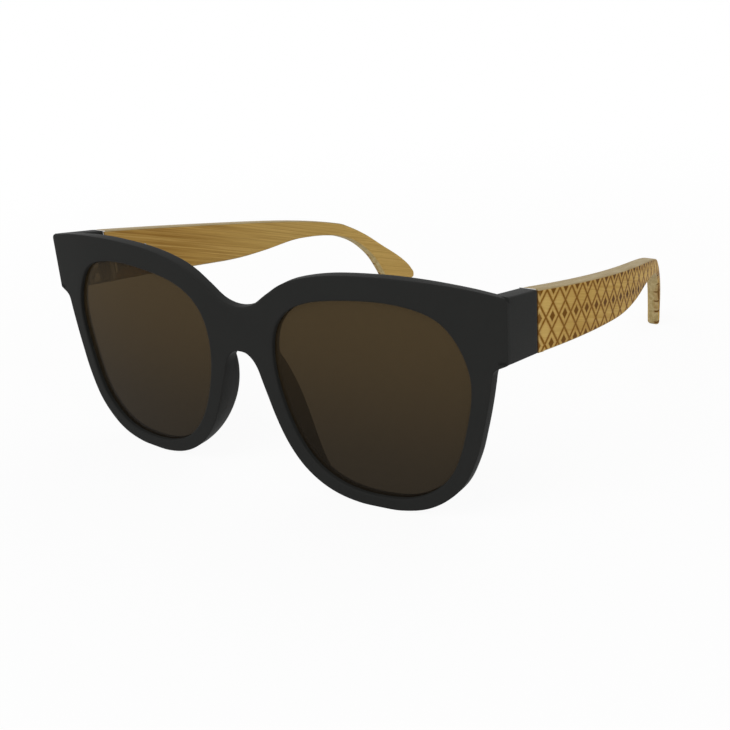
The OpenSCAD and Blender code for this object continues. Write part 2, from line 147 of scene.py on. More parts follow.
def lens_line(t):
    """Edge of the right lens opening at t (in points of its outline), with its outward normals."""
    step = 1e-3
    return closed_curve(LENS_POINTS, t), left_of(closed_curve(LENS_POINTS, t + step)
                                                 - closed_curve(LENS_POINTS, t - step))


def rim_width(out):
    """Width of the rim where it faces along out: from that under the lens to that of its side, by the share of x."""
    return RIM_BOTTOM + (np.where(out[:, 0] > 0, RIM_SIDE, RIM_NOSE) - RIM_BOTTOM) * np.abs(out[:, 0])


def wrapped_y(x, depth):
    """Depth of the curved front at x: a circle about the wrap's axis, smaller by the depth behind the face."""
    return WRAP_R - np.sqrt((WRAP_R - depth) ** 2 - x ** 2)


def rounded_box(a0, a1, b0, b1, radius, steps=4):
    """Closed line round a rectangle a0..a1 by b0..b1 (a value, or an array of one per section) with quarter circles
    of the radius at its corners; returns both coordinates with one row per section."""
    q = np.radians(np.linspace(0, 90, steps + 1))
    c, s = np.cos(q), np.sin(q)
    a = np.concatenate([c, -s, -c, s])
    b = np.concatenate([s, c, -s, -c])
    right = np.repeat([1, 0, 0, 1], steps + 1)
    top = np.repeat([1, 1, 0, 0], steps + 1)
    a0, a1, b0, b1, radius = (np.atleast_1d(v)[:, None] for v in (a0, a1, b0, b1, radius))
    return (np.where(right, a1 - radius, a0 + radius) + radius * a,
            np.where(top, b1 - radius, b0 + radius) + radius * b)


def tube(sections):
    """Closed skin over sections (count, points, 3): quads between sections and a fan to the middle of each end."""
    rows, cols = sections.shape[:2]
    points = np.concatenate([sections.reshape(-1, 3), sections[:1].mean(1), sections[-1:].mean(1)])
    i, j = np.meshgrid(np.arange(rows - 1), np.arange(cols), indexing="ij")
    k = (j + 1) % cols
    quads = np.stack([i * cols + j, i * cols + k, (i + 1) * cols + k, (i + 1) * cols + j], -1).reshape(-1, 4)
    j, k = j[0], k[0]
    first = np.stack([np.full(cols, rows * cols), k, j], 1)
    last = np.stack([np.full(cols, rows * cols + 1), (rows - 1) * cols + j, (rows - 1) * cols + k], 1)
    return points, [quads, first, last]


def joined(skins):
    """Several skins as one: points in a row, each skin's faces counted on from the skins before it."""
    starts = np.cumsum([0] + [len(points) for points, faces in skins[:-1]])
    return (np.concatenate([points for points, faces in skins]),
            [block + start for (points, faces), start in zip(skins, starts) for block in faces])


def mirrored(skin):
    """The skin on the other side of the middle plane x = 0."""
    points, faces = skin
    return points * np.array([-1.0, 1.0, 1.0]), faces


def piece(name, skin, material, body, node, marks=()):
    """Mesh in metres in the part's frame, with marks on its points, doubles merged, faces outwards and smooth; rides
    on a body and stands in for a node of the part."""
    points, faces = skin
    placed = (points - np.array([0.0, DEPTH / 2, 0.0])) * MM
    mesh = bpy.data.meshes.new(name)
    mesh.from_pydata(placed.tolist(), [], [face for block in faces for face in block.tolist()])
    for label, kind, values in marks:
        field = mesh.attributes.new(label, kind, "POINT")
        field.data.foreach_set("vector" if kind == "FLOAT_VECTOR" else "value", np.ascontiguousarray(values).ravel())
    work = bmesh.new()
    work.from_mesh(mesh)
    bmesh.ops.remove_doubles(work, verts=work.verts, dist=MERGE_DISTANCE)
    bmesh.ops.recalc_face_normals(work, faces=work.faces)
    work.to_mesh(mesh)
    work.free()
    mesh.shade_smooth()
    mesh.materials.append(material)
    obj = bpy.data.objects.new(name, mesh)
    bpy.context.scene.collection.objects.link(obj)
    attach(obj, body)
    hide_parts(node)
    return obj


# Materials


class Nodes:
    """Short way to write a material's nodes: most methods add a node and return its output."""

    def __init__(self, name):
        self.material = bpy.data.materials.new(name)
        self.material.use_nodes = True
        self.tree = self.material.node_tree
        self.tree.nodes.clear()
        self.out = self.tree.nodes.new("ShaderNodeOutputMaterial")
        self.shader = self.tree.nodes.new("ShaderNodeBsdfPrincipled")
        self.tree.links.new(self.shader.outputs[0], self.out.inputs["Surface"])

    def put(self, socket, value):
        """Links an output to a socket, or sets a plain value on it."""
        if isinstance(value, bpy.types.NodeSocket):
            self.tree.links.new(value, socket)
        elif value is not None:
            socket.default_value = value

    def set(self, **values):
        """Puts values on the shader's sockets, whose names have spaces in place of underscores."""
        for key, value in values.items():
            self.put(self.shader.inputs[key.replace("_", " ")], value)

    def math(self, kind, a, b=None):
        n = self.tree.nodes.new("ShaderNodeMath")
        n.operation = kind
        for socket, value in zip(n.inputs, (a, b)):
            self.put(socket, value)
        return n.outputs[0]

    def ramp(self, value, low, high, to_low=0.0, to_high=1.0):
        """Smooth step from to_low, where the value is low, to to_high, where it is high."""
        n = self.tree.nodes.new("ShaderNodeMapRange")
        n.interpolation_type = "SMOOTHSTEP"
        for key, v in zip(("Value", "From Min", "From Max", "To Min", "To Max"), (value, low, high, to_low, to_high)):
            self.put(n.inputs[key], v)
        return n.outputs[0]

    def attribute(self, name, vector=False):
        n = self.tree.nodes.new("ShaderNodeAttribute")
        n.attribute_name = name
        return n.outputs["Vector" if vector else "Fac"]

    def place(self):
        return self.tree.nodes.new("ShaderNodeTexCoord").outputs["Object"]

    def split(self, vector):
        n = self.tree.nodes.new("ShaderNodeSeparateXYZ")
        self.put(n.inputs[0], vector)
        return n.outputs

    def stretch(self, vector, scale, shift=(0, 0, 0), turn=0.0):
        n = self.tree.nodes.new("ShaderNodeMapping")
        n.inputs["Scale"].default_value = scale
        n.inputs["Rotation"].default_value = (0.0, 0.0, turn)
        n.inputs["Location"].default_value = shift
        self.put(n.inputs["Vector"], vector)
        return n.outputs[0]

    def noise(self, vector, scale, detail=3.0, rough=0.5):
        n = self.tree.nodes.new("ShaderNodeTexNoise")
        self.put(n.inputs["Vector"], vector)
        n.inputs["Scale"].default_value = scale
        n.inputs["Detail"].default_value = detail
        n.inputs["Roughness"].default_value = rough
        return n.outputs["Fac"]

    def mix(self, factor, a, b):
        """Colour from a to b by the factor."""
        n = self.tree.nodes.new("ShaderNodeMix")
        n.data_type = "RGBA"
        self.put(n.inputs[0], factor)
        for socket, value in zip((n.inputs[6], n.inputs[7]), (a, b)):
            self.put(socket, (*value, 1.0) if isinstance(value, tuple) else value)
        return n.outputs[2]

    def bump(self, height, strength, distance):
        """Fine relief of the surface, with its distance in metres."""
        n = self.tree.nodes.new("ShaderNodeBump")
        n.inputs["Strength"].default_value = strength
        n.inputs["Distance"].default_value = distance
        self.put(n.inputs["Height"], height)
        self.put(self.shader.inputs["Normal"], n.outputs[0])


def moulded_black():
    """Matte moulded plastic: near black, with a fine grain in its gloss and surface."""
    dark, light = (0.0230, 0.0234, 0.0226), (0.0269, 0.0273, 0.0259)
    n = Nodes("moulded_black")
    at = n.place()
    broad = n.noise(at, 60.0, 3.0)
    fine = n.noise(at, 5200.0, 2.0)
    n.set(Base_Color=n.mix(broad, dark, light), Roughness=n.ramp(fine, 0.3, 0.7, 0.42, 0.54))
    n.set(IOR=1.46, Specular_IOR_Level=0.02)
    n.bump(fine, 0.12, 0.03 * MM)
    return n.material


def brown_tint_and_painted_light():
    """Polished see-through lens: brown, with painted light that makes it lighter towards the top and darker towards
    its lower edge, and a faint unevenness.
    """
    below, above, cloudy = (0.0420, 0.0330, 0.0228), (0.0880, 0.0610, 0.0298), (0.052, 0.038, 0.019)
    n = Nodes("brown_tint_and_painted_light")
    at = n.place()
    # Painted light: the brown goes from darker at the lower edge to lighter at the top
    height = n.ramp(n.split(at)[2], 2 * MM, 55 * MM)
    cloud = n.noise(at, 35.0, 2.0)
    tint_with_painted_light = n.mix(height, below, above)
    n.set(Base_Color=n.mix(n.math("MULTIPLY", cloud, 0.15), tint_with_painted_light, cloudy),
          Roughness=n.ramp(cloud, 0.3, 0.7, 0.015, 0.03))
    n.set(IOR=1.09, Transmission_Weight=0.66)
    return n.material


# Lattice in millimetres: its steps, its first diamond, and from where to where a mark fades out
LATTICE_PITCH, LATTICE_ROW, LATTICE_LEAN = 6.64, 6.6, 0.11
FIRST_DIAMOND, FIRST_ROW = 8.2, 0.38
LINE_FADE, DIAMOND_FADE = (0.2, 0.48), (1.15, 1.6)
LINE_SCORCH, DIAMOND_SCORCH = (0.25, 1.1), (1.2, 2.4)

# Grain and colours of the bamboo
GRAIN_TURN = math.radians(-6.5)
OUTER_DARK, OUTER_LIGHT, OUTER_ROOT = (0.49, 0.295, 0.066), (0.62, 0.41, 0.112), (0.74, 0.52, 0.17)
INNER_DARK, INNER_LIGHT, INNER_FAR = (0.36, 0.19, 0.038), (0.54, 0.32, 0.078), (0.60, 0.42, 0.136)
PALE_LINE, DARK_LINE = (0.70, 0.46, 0.15), (0.33, 0.165, 0.036)
EDGE_DARK, EDGE_LIGHT = (0.36, 0.28, 0.145), (0.45, 0.37, 0.215)
# Colours of the hook's edges: painted light, lighter than the other edges where the hook lies in shade
PAINTED_LIGHT_HOOK_DARK, PAINTED_LIGHT_HOOK_LIGHT = (0.43, 0.33, 0.135), (0.60, 0.49, 0.25)
FIBRE, FLECK = (0.30, 0.16, 0.045), (0.22, 0.11, 0.03)
SCORCHED, ROOT_END = (0.36, 0.165, 0.032), (0.075, 0.032, 0.010)
LINE_NEAR, LINE_FAR = (0.200, 0.080, 0.002), (0.122, 0.047, 0.002)
DIAMOND_NEAR, DIAMOND_FAR = (0.165, 0.066, 0.002), (0.084, 0.029, 0.001)


def lattice(n, along, below):
    """Burnt lattice: two families of slanting lines p + q and p - q at halves, where p counts pitches along the
    temple, leaning back a little on the way down, and q counts rows below its top edge; filled diamonds
    |x| + |y| < c sit where p and q are whole. Returns the masks of the lines, of the diamonds and of the scorched
    wood beside them."""
    q = n.math("DIVIDE", n.math("SUBTRACT", below, FIRST_ROW), LATTICE_ROW)
    upright = n.math("SUBTRACT", along, n.math("MULTIPLY", q, LATTICE_LEAN * LATTICE_ROW))
    p = n.math("DIVIDE", n.math("SUBTRACT", upright, FIRST_DIAMOND), LATTICE_PITCH)
    spacing = 1 / math.hypot(1 / LATTICE_PITCH, 1 / LATTICE_ROW)

    def from_half(value):
        return n.math("ABSOLUTE", n.math("SUBTRACT", n.math("FRACT", value), 0.5))

    def from_whole(value):
        return from_half(n.math("ADD", value, 0.5))

    def mask(distance, fade):
        return n.ramp(distance, *fade, 1.0, 0.0)

    to_line = n.math("MINIMUM", n.math("MULTIPLY", from_half(n.math("ADD", p, q)), spacing),
                     n.math("MULTIPLY", from_half(n.math("SUBTRACT", p, q)), spacing))
    to_middle = n.math("ADD", n.math("MULTIPLY", from_whole(p), LATTICE_PITCH),
                       n.math("MULTIPLY", from_whole(q), LATTICE_ROW))
    return (mask(to_line, LINE_FADE), mask(to_middle, DIAMOND_FADE),
            n.math("MAXIMUM", mask(to_line, LINE_SCORCH), mask(to_middle, DIAMOND_SCORCH)))


def bamboo():
    """Laminated bamboo: streaks and fine fibres drawn out along the temple, a tan outer face with the burnt lattice,
    a golden inner face, pale edges with painted light that makes them lighter on the hook, and a scorched end at the
    root."""
    n = Nodes("bamboo")
    grain, face = n.attribute("grain", vector=True), n.attribute("face")
    burn, behind = n.attribute("burn"), n.attribute("behind")
    along, below = n.split(grain)[:2]
    board = n.stretch(grain, (1.0, 1.0, 1.0), turn=GRAIN_TURN)

    def drawn_out(lengthways, across, detail, rough, shift=(0, 0, 0)):
        return n.noise(n.stretch(board, (lengthways, across, across), shift), 1.0, detail, rough)

    streak = drawn_out(0.018, 0.9, 4.0, 0.6)
    line = drawn_out(0.022, 2.6, 2.0, 0.5, (5.0, 2.0, 1.0))
    fibre = drawn_out(0.09, 7.0, 3.0, 0.6)
    fleck = drawn_out(0.35, 5.0, 2.0, 0.5, (3.0, 1.0, 7.0))

    # Faces and edges; the edges of the hook are painted lighter, as painted light where they lie in shade
    outer = n.mix(n.ramp(streak, 0.3, 0.7), OUTER_DARK, OUTER_LIGHT)
    outer = n.mix(n.ramp(along, 2.0, 26.0, 0.55, 0.0), outer, OUTER_ROOT)
    inner = n.mix(n.ramp(streak, 0.36, 0.64), INNER_DARK, INNER_LIGHT)
    inner = n.mix(n.ramp(along, 20.0, 95.0, 0.0, 0.65), inner, INNER_FAR)
    inner = n.mix(n.ramp(line, 0.5, 0.66, 0.0, 0.5), inner, PALE_LINE)
    inner = n.mix(n.ramp(line, 0.36, 0.46, 0.35, 0.0), inner, DARK_LINE)
    edge = n.mix(n.ramp(streak, 0.3, 0.7), EDGE_DARK, EDGE_LIGHT)
    # Painted light: towards the tip the edges take the lighter colours of the hook
    hook_painted_light = n.mix(n.ramp(streak, 0.35, 0.65), PAINTED_LIGHT_HOOK_DARK, PAINTED_LIGHT_HOOK_LIGHT)
    edge = n.mix(n.ramp(behind, 104.0, 118.0, 0.0, 0.8), edge, hook_painted_light)
    wood = n.mix(n.ramp(face, -0.35, -0.9), n.mix(n.ramp(face, 0.35, 0.9), edge, outer), inner)
    wood = n.mix(n.ramp(fibre, 0.35, 0.7, 0.0, 0.28), wood, FIBRE)
    wood = n.mix(n.ramp(fleck, 0.62, 0.78, 0.0, 0.3), wood, FLECK)

    # Burnt marks, paler near the root, and the scorched end
    is_burnt = n.ramp(burn, 0.35, 0.9)
    lines, diamonds, scorch = (n.math("MULTIPLY", mask, is_burnt) for mask in lattice(n, along, below))
    lines = n.math("MULTIPLY", lines, n.ramp(n.noise(grain, 0.9, 2.0), 0.2, 0.7, 0.72, 1.0))
    far = n.ramp(along, 8.0, 75.0)
    wood = n.mix(n.math("MULTIPLY", scorch, 0.4), wood, SCORCHED)
    wood = n.mix(lines, wood, n.mix(far, LINE_NEAR, LINE_FAR))
    wood = n.mix(diamonds, wood, n.mix(far, DIAMOND_NEAR, DIAMOND_FAR))
    wood = n.mix(n.ramp(behind, 0.15, 0.6, 0.85, 0.0), wood, ROOT_END)
    n.set(Base_Color=wood, Roughness=n.ramp(fibre, 0.3, 0.7, 0.42, 0.58))
    n.set(IOR=1.45, Specular_IOR_Level=0.03)
    n.bump(n.math("SUBTRACT", fibre, n.math("MULTIPLY", lines, 0.8)), 0.25, 0.05 * MM)
    return n.material


def brushed_steel(name, colour, rough):
    """Satin metal: fine drawn lines in its gloss and a slight unevenness of tone."""
    n = Nodes(name)
    at = n.place()
    drawn = n.noise(n.stretch(at, (300.0, 9000.0, 9000.0)), 1.0, 3.0)
    tone = n.noise(at, 400.0, 2.0)
    n.set(Base_Color=n.mix(tone, tuple(0.9 * c for c in colour), colour),
          Roughness=n.ramp(drawn, 0.3, 0.7, rough - 0.06, rough + 0.08))
    n.set(Metallic=1.0)
    n.bump(drawn, 0.1, 0.01 * MM)
    return n.material


BLACK = moulded_black()
TINT_AND_PAINTED_LIGHT = brown_tint_and_painted_light()
BAMBOO = bamboo()
PLATE_STEEL = brushed_steel("plate_steel", (0.66, 0.65, 0.63), 0.3)
HINGE_STEEL = brushed_steel("hinge_steel", (0.40, 0.395, 0.385), 0.4)
SCREW_STEEL = brushed_steel("screw_steel", (0.72, 0.71, 0.69), 0.26)
SPRING_STEEL = brushed_steel("spring_steel", (0.46, 0.46, 0.47), 0.38)

# The moulded front

# Roundings of its edges, and how far a part that starts inside another is drawn in there
FACE_ROUND, BRIDGE_ROUND, BACK_ROUND, PAD_JOIN = 0.3, 0.8, 0.7, 0.06
OPEN_ROUND, OPEN_BACK = 0.45, 0.35
SEAM_ROUND, END_ROUND = 0.22, 0.6
TUCK = 0.03

# Steps along its outer edge and across its profile; where the brow meets the corner's circle, and how it falls there
BROW_STEPS, CORNER_STEPS, SIDE_STEPS, LOWER_STEPS, MIDDLE_STEPS = 144, 7, 10, 300, 16
ARC_STEPS, FACE_LINES = 5, 9
CORNER_FROM, BROW_FALL = 72, 0.2

# Places on the lens edge, in points of its outline, that lie across from the points of the outer edge
RIM_ACROSS = np.arange(4.0, 10.1, 0.5)
BROW_ACROSS = [-2.2, -2.0, -1.75, -1.5, -1.15, -0.57, 0.1, 1.05, 1.75, 2.2]
CORNER_ACROSS = 2.21, 2.3
LOWER_ACROSS = [2.72, 2.78, 2.86, 2.92, 2.98, 3.15, 3.56, *RIM_ACROSS, 10.55, 11, 11.25, 11.4]

# Where a form begins and is complete: the bridge's rounding and the top's slope by place, the pad's join by lens edge
BRIDGE_FADE, SLOPE_X, SLOPE_Z = (7.0, 21.0), (44.0, 71.0), (46.0, 57.5)
PAD_BEGINS, PAD_ENDS = (7.8, 8.6), (11.0, 11.4)


def front_outline():
    """Right half of the front's outer edge, clockwise from the middle of the bridge's top to the middle of its arch:
    a smooth curve over bridge and brow, a circle at the corner, a straight side, and a smooth curve along the
    underside and round the rim. Gives for each point also the place on the lens edge that lies across from it."""
    on_bridge = np.stack([BRIDGE_SHARES[:, 0] * LENS_GAP, BRIDGE_TOP + BRIDGE_SHARES[:, 1] * SADDLE], 1)
    on_brow = np.stack([LENS_X + BROW_SHARES[:, 0] * LENS_W, BRIDGE_TOP + BROW_SHARES[:, 1] * SADDLE], 1)
    to_corner = np.array([[HALF_W - CORNER_R, CORNER_TOP], [HALF_W + CORNER_R, CORNER_TOP - BROW_FALL]])
    t = np.linspace(1, len(BROW_ACROSS), BROW_STEPS)
    brow, brow_across = curve(np.concatenate([on_bridge, on_brow, to_corner]), t), between(BROW_ACROSS, t)
    a = np.radians(np.linspace(CORNER_FROM, 0, CORNER_STEPS))
    corner = np.stack([HALF_W - CORNER_R + CORNER_R * np.cos(a), CORNER_TOP - CORNER_R + CORNER_R * np.sin(a)], 1)
    corner_across = np.linspace(*CORNER_ACROSS, CORNER_STEPS)
    under = np.stack([RIM_OUT + UNDER_SHARES[:, 0] * (HALF_W - RIM_OUT), END_BOTTOM - UNDER_SHARES[:, 1] * ROOT_H], 1)
    s = np.linspace(0, 1, SIDE_STEPS + 2)[1:-1]
    side = corner[-1] * (1 - s[:, None]) + under[1] * s[:, None]
    side_across = CORNER_ACROSS[1] + s * (LOWER_ACROSS[0] - CORNER_ACROSS[1])
    edge, out = lens_line(RIM_ACROSS)
    rim = edge + rim_width(out)[:, None] * out
    arch = np.stack([ARCH_SHARES[:, 0] * LENS_GAP, ARCH_TOP - ARCH_SHARES[:, 1] * RIM_NOSE], 1)
    t = np.linspace(1, len(LOWER_ACROSS), LOWER_STEPS)
    lower, lower_across = curve(np.concatenate([under, rim, arch]), t), between(LOWER_ACROSS, t)
    return (np.concatenate([brow, corner, side, lower]),
            np.concatenate([brow_across, corner_across, side_across, lower_across]))


def front_slab():
    """Right half of the front as a ring round the lens: at each station a closed profile runs over the front face,
    round the outer edge, over the back face and round the lens opening, with quarter circles at its four edges. At
    the middle plane the profile has no outer edge, so that the other half joins on. The whole is bent onto the wrap's
    circle, and its top slopes down to the back towards the corner."""
    outer, across = front_outline()
    heading = np.gradient(outer, axis=0)
    heading[0], heading[-1] = (1, 0), (-1, 0)
    outward = left_of(heading)
    count = len(outer)
    on_bridge = (1 - ease(outer[:, 0], *BRIDGE_FADE)) * (np.arange(count) < BROW_STEPS)

    # Stations up the middle plane close the ring
    mid = np.linspace(0, 1, MIDDLE_STEPS + 2)[1:-1]
    mid_z = ARCH_TOP + FACE_ROUND + mid * (BRIDGE_TOP - ARCH_TOP - FACE_ROUND - BRIDGE_ROUND)
    to_start = BROW_ACROSS[0] + len(LENS_SHARES) - LOWER_ACROSS[-1]
    outer = np.concatenate([outer, np.stack([np.zeros_like(mid), mid_z], 1)])
    outward = np.concatenate([outward, np.zeros((len(mid), 2))])
    across = np.concatenate([across, LOWER_ACROSS[-1] + to_start * mid])
    soft = FACE_ROUND + (BRIDGE_ROUND - FACE_ROUND) * np.concatenate([on_bridge, np.zeros(len(mid))])[:, None]
    at_pad = ease(across, *PAD_BEGINS) * (1 - ease(across, *PAD_ENDS))
    soft_back = (BACK_ROUND + (PAD_JOIN - BACK_ROUND) * at_pad)[:, None]

    # Lines of the profile, each with its depth
    edge, into = lens_line(across)
    q = np.linspace(0, math.pi / 2, ARC_STEPS + 1)

    def face(round_in, round_out):
        a, b = edge + round_in * into, outer - round_out * outward
        return [a * (1 - k) + b * k for k in np.linspace(0, 1, FACE_LINES)]

    front, back = face(OPEN_ROUND, soft), face(OPEN_BACK, soft_back)
    rim = [(outer - outward * soft * (1 - math.sin(k)), soft * (1 - math.cos(k))) for k in q[1:]]
    rim += [(outer, 0.5 * FRONT_T)]
    rim += [(outer - outward * soft_back * (1 - math.cos(k)), FRONT_T - soft_back * (1 - math.sin(k)))
            for k in q[:-1]]
    hole = [(edge + into * OPEN_BACK * (1 - math.sin(k)), FRONT_T - OPEN_BACK * (1 - math.cos(k))) for k in q[1:]]
    hole += [(edge, 0.5 * FRONT_T)]
    hole += [(edge + into * OPEN_ROUND * (1 - math.cos(k)), OPEN_ROUND * (1 - math.sin(k))) for k in q[:-1]]
    rows = [(p, 0.0) for p in front] + rim + [(p, FRONT_T) for p in back[::-1]] + hole
    plane = np.stack([p for p, d in rows], 1)
    depth = np.concatenate([np.broadcast_to(d, (len(outer), 1)) for p, d in rows], 1)
    x, z = plane[..., 0], plane[..., 1]
    y = wrapped_y(x, depth)
    slope = ease(x, *SLOPE_X) * ease(z, *SLOPE_Z)
    z = z - END_RUN * (y - wrapped_y(x, 0.0)) * slope

    # Quads between stations, apart from the outer edge along the middle plane
    stations, loop = x.shape
    i, j = np.meshgrid(np.arange(stations), np.arange(loop), indexing="ij")
    k, m = (i + 1) % stations, (j + 1) % loop
    faces = np.stack([i * loop + j, i * loop + m, k * loop + m, k * loop + j], -1).reshape(-1, 4)
    round_edge = (j >= FACE_LINES - 1) & (j < FACE_LINES + len(rim))
    faces = faces[~((i >= count - 1) & round_edge).ravel()]
    used, faces = np.unique(faces, return_inverse=True)
    return np.stack([x, y, z], -1).reshape(-1, 3)[used], [faces.reshape(-1, 4)]


# End piece: where it starts and is no longer tucked in behind the corner, its steps, its sag and its proud side
END_STARTS, END_STEPS, END_SAG, END_PROUD = (0.8, 3.0), 17, 0.4, 0.01


def end_piece():
    """Wall that turns back from the front's corner: a rounded rectangle carried back and down to the seam, a little
    deeper at the front, its last step drawn in along a quarter circle."""
    start, clear = CORNER_Y + END_STARTS[0], CORNER_Y + END_STARTS[1]
    back = SEAM_Y - SEAM_GAP
    last = back - SEAM_ROUND
    y = np.concatenate([np.linspace(start, last, END_STEPS + 1)[:-1], last + SEAM_ROUND * np.sin(QUARTER)])
    inset = np.concatenate([np.zeros(END_STEPS), SEAM_ROUND * (1 - np.cos(QUARTER))])
    inset = inset + TUCK * (1 - ease(y, start, clear))
    drop = END_RUN * (y - CORNER_Y)
    sag = END_SAG * (back - y) / (back - CORNER_Y)
    x, z = rounded_box(INNER_X + inset, HALF_W + END_PROUD - inset, END_BOTTOM - drop - sag + inset,
                       CORNER_TOP - drop - inset, END_ROUND)
    return tube(np.stack([x, np.broadcast_to(y[:, None], x.shape), z], -1))


# Filling of the turn: how far it goes into the front's back, beyond that and into the wall; its ends from the wall's
TURN_SINK, TURN_ROOT, TURN_BITE, TURN_BELOW, TURN_SHORT = 0.2, 0.6, 0.4, 1.0, 2.4


def turn_filling():
    """Rounded filling inside the turn: a hollow quarter circle closed by the corner behind it, carried upwards."""
    q = np.radians(np.linspace(0, 90, 9))
    from_x, to_x = INNER_X - TURN_R, INNER_X + TURN_BITE
    turn_y = wrapped_y(INNER_X, FRONT_T) - TURN_SINK
    from_y, to_y = turn_y - TURN_ROOT, turn_y + TURN_R
    x = np.concatenate([from_x + TURN_R * np.cos(q), [from_x, to_x, to_x]])
    y = np.concatenate([to_y - TURN_R * np.sin(q), [from_y, from_y, to_y]])
    lean = -END_RUN * (y - CORNER_Y)
    ends = END_BOTTOM - TURN_BELOW, END_BOTTOM + ROOT_H - TURN_SHORT
    return tube(np.stack([np.stack([x, y, h + lean], 1) for h in ends]))


# Nose pad: its run along the lens edge and its steps; its ledge beside the groove, how deep it starts, its least
# reach, its distance behind the lens, and between which reaches its back edge becomes round
PAD_FROM, PAD_TO, PAD_STEPS, PAD_LINES, PAD_ARC = 8.0, 11.5, 64, 6, 13
PAD_LEDGE, PAD_SINK, PAD_LEAST, PAD_CLEAR, PAD_ROUNDED = 0.4, 0.5, 0.1, 0.05, (2.0, 5.0)


def nose_pad():
    """Moulded pad: along the nose side of the rim a U-shaped profile reaches back to a circle seen from the side, its
    back edge a half circle, and behind the rim it leans outwards by the spread's slope."""
    edge, out = lens_line(np.linspace(PAD_FROM, PAD_TO, PAD_STEPS))
    wide, ledge = rim_width(out), GROOVE + PAD_LEDGE
    a, b = edge + (wide[:, None] - TUCK) * out, edge + ledge * out
    z = 0.5 * (a + b)[:, 1]
    reach = PAD_REACH - PAD_R + np.sqrt(np.maximum(PAD_R ** 2 - (z - PAD_Z) ** 2, 0.0))
    half = 0.5 * (wide - ledge)
    start = FRONT_T - PAD_SINK
    straight = np.maximum(reach - half, start + PAD_LEAST)
    s = np.linspace(0, 1, PAD_LINES + 1)
    q = np.radians(np.linspace(-90, 90, PAD_ARC))
    none, full = np.zeros(PAD_LINES), np.ones(PAD_LINES)
    share = np.concatenate([none, 0.5 + 0.5 * np.sin(q), full])
    run = np.concatenate([s[:-1], np.ones(PAD_ARC), s[::-1][1:]])
    cap = half[:, None] * np.concatenate([none, np.cos(q), none])
    plane = a[:, None, :] * (1 - share)[None, :, None] + b[:, None, :] * share[None, :, None]
    y = start + (straight - start)[:, None] * run[None, :] + cap * ease(reach, *PAD_ROUNDED)[:, None]
    past = np.maximum(y - wrapped_y(plane[..., 0], FRONT_T), 0.0)
    x = plane[..., 0] + past * math.tan(math.radians(PAD_SPREAD))
    y = np.maximum(y, wrapped_y(x, LENS_DEPTH + LENS_T + PAD_CLEAR))
    return tube(np.stack([x, y, plane[..., 1]], -1))


# The rims are cut flat where they stand
half_front = [front_slab(), end_piece(), turn_filling(), nose_pad()]
front = joined(half_front + [mirrored(skin) for skin in half_front])
front[0][:, 2] = np.maximum(front[0][:, 2], 0.0)
piece("moulded_front", front, BLACK, "front", "front_frame")

# The lenses

LENS_STEPS, LENS_RINGS, LENS_EYE, LENS_HELD = 224, 22, 0.0004, 0.5


def lens_skin():
    """Lens: the outline, a little way into its groove, drawn in towards its middle in rings by the root of even
    steps, on the circle of its front and then of its back."""
    edge, out = lens_line(np.linspace(0, len(LENS_SHARES), LENS_STEPS, endpoint=False))
    edge = edge + LENS_HELD * out
    middle = np.array([LENS_X, LENS_Z])
    ring = np.sqrt(np.linspace(LENS_EYE, 1, LENS_RINGS))
    share = np.concatenate([ring, ring[::-1]])
    depth = np.repeat([LENS_DEPTH, LENS_DEPTH + LENS_T], LENS_RINGS)
    plane = middle + (edge - middle)[None] * share[:, None, None]
    x = plane[..., 0]
    return tube(np.stack([x, wrapped_y(x, depth[:, None]), plane[..., 1]], -1))


lens = lens_skin()
piece("tinted_lens_right", lens, TINT_AND_PAINTED_LIGHT, "front", "lens_right")
piece("tinted_lens_left", mirrored(lens), TINT_AND_PAINTED_LIGHT, "front", "lens_left")

# The bamboo temples

# Roundings, and the shares of the root's rounding where its first stations stand
EDGE_ROUND, TIP_ROUND, ROOT_ROUND, BOX_STEPS = 0.5, 1.25, 0.12, 5
ROOT_STEPS = np.array([0.0, 0.3, 1.0])

# Stations along the outline: even up to a share of it and then closer, beginning a little behind those of the root
EVEN_SHARE, EVEN_STEPS, TIP_STEPS, OTHERS_BEGIN = 0.9, 250, 25, 1.4

# Places on the underside across from the points of the top edge; between which of these points the edges become
# softer and the lattice goes on over the lower edge, and by how much
TEMPLE_ACROSS = [26, 25, 22.5, 20, 19, 17.9, 17.1, 16, 14.7, 13.3, 12.6, 12]
SOFTER, BURN_WRAPS, WRAP_MOST = (3.2, 6.2), (5.5, 7.5), 0.5

# The tip is blunt below this height in roundings, and a rounding takes at most this share of the height
BLUNT_BELOW, ROUND_SHARE = 2.4, 0.45

# Lips: stations, how far the first ones are drawn in, where they sink, how far they stand proud and sink, and edges
LIP_STATIONS = np.array([0.12, 0.16, 0.25, 0.9, 1.3, 1.7, 2.1, 2.5, 2.9])
LIP_DRAWN, LIP_SINKS, OUTER_PROUD, INNER_PROUD = (0.1, 0.03), (1.0, 2.9), (0.012, 0.05), (0.075, 0.12)
LIP_T, INNER_LIP_H, LIP_EDGE, LIP_ROUND = 0.55, 6.8, 0.12, 0.24

# A point is on a face beyond a share of the half thickness without its rounding; the face's colour fades at an edge
FACE_SHARE, ROUND_PART, EDGE_FADE = 0.98, 0.55, (0.05, 0.5)
MARKS = ("grain", "FLOAT_VECTOR"), ("face", "FLOAT"), ("burn", "FLOAT"), ("behind", "FLOAT")


